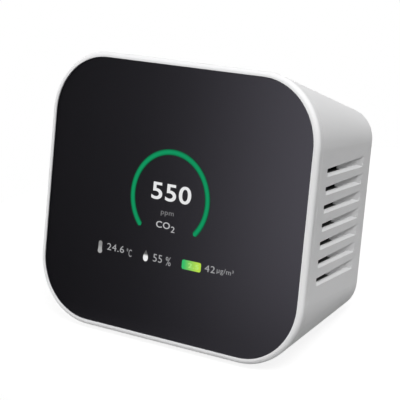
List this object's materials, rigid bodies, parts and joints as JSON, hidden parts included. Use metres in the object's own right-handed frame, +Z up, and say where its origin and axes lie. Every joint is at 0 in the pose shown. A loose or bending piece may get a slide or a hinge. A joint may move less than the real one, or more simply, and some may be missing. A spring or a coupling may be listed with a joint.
{
  "type": "air quality monitor",
  "caption": "Desktop air quality monitor: tapered white housing with slotted sides, leaning black glass face with a lit readout, charging socket and push button at the rear.",
  "frame": {"origin": "on the table surface, under the middle of the box that holds the object", "axes": "+Z up, +X to the right of the face as it is read, -Y the way the face looks; the face leans back"},
  "size_m": [0.087, 0.0604, 0.0755],
  "materials": {
    "white_shell": "fine moulded grain",
    "black_glass": "polished, printed black behind",
    "foam": "closed-cell foam",
    "display_glass": "polished",
    "bright_steel": "plated",
    "amber_film": "satin film",
    "grey_plastic": "moulded",
    "green_board": "solder mask",
    "black_plastic": "moulded",
    "ivory_plastic": "moulded",
    "white_film": "film",
    "brass": "turned and plated",
    "battery_foil": "laminated foil",
    "red_insulation": "smooth",
    "black_rubber": "matt"
  },
  "bodies": {
    "body": {"front_frame": "white_shell", "cover_glass": "black_glass", "glass_tape": "foam", "display_panel": "display_glass", "backlight_tray": "bright_steel", "display_cable": "amber_film", "chassis": "grey_plastic", "chassis_screws": "bright_steel", "main_board": "green_board", "board_screws": "bright_steel", "processor_chip": "black_plastic", "radio_module": "bright_steel", "buzzer": "black_plastic", "display_connector": "ivory_plastic", "io_connector": "ivory_plastic", "sensor_connector": "ivory_plastic", "co2_sensor_board": "green_board", "co2_sensor_cell": "brass", "co2_filter": "white_film", "sensor_standoffs": "brass", "sensor_screws": "bright_steel", "sensor_cable": "white_film", "particle_sensor_base": "grey_plastic", "particle_sensor_lid": "grey_plastic", "particle_sensor_board": "green_board", "laser_module": "brass", "fan_motor": "black_plastic", "climate_sensor_board": "green_board", "climate_sensor_chip": "black_plastic", "io_board": "green_board", "io_screws": "bright_steel", "io_cable": "white_film", "charging_socket": "bright_steel", "socket_tongue": "black_plastic", "switch_body": "black_plastic", "battery": "battery_foil", "battery_pad": "foam", "battery_connector": "ivory_plastic", "battery_leads": "red_insulation", "rear_housing": "white_shell", "case_screws": "bright_steel", "foot_front_left": "black_rubber", "foot_front_right": "black_rubber", "foot_rear_left": "black_rubber", "foot_rear_right": "black_rubber"},
    "button": {"power_button": "white_shell", "switch_plunger": "ivory_plastic"},
    "fan": {"fan_rotor": "grey_plastic"}
  },
  "joints": [
    {"name": "button_press", "type": "slide", "parent": "body", "child": "button", "axis": [0, -0.9763, 0.2164], "range_m": [0, 0.0005], "stiffness_N_per_m": 4000},
    {"name": "fan_spin", "type": "hinge", "parent": "body", "child": "fan", "pos_m": [0.007, 0.00605, 0.03694], "axis": [0, 0.9763, -0.2164], "continuous": true}
  ]
}
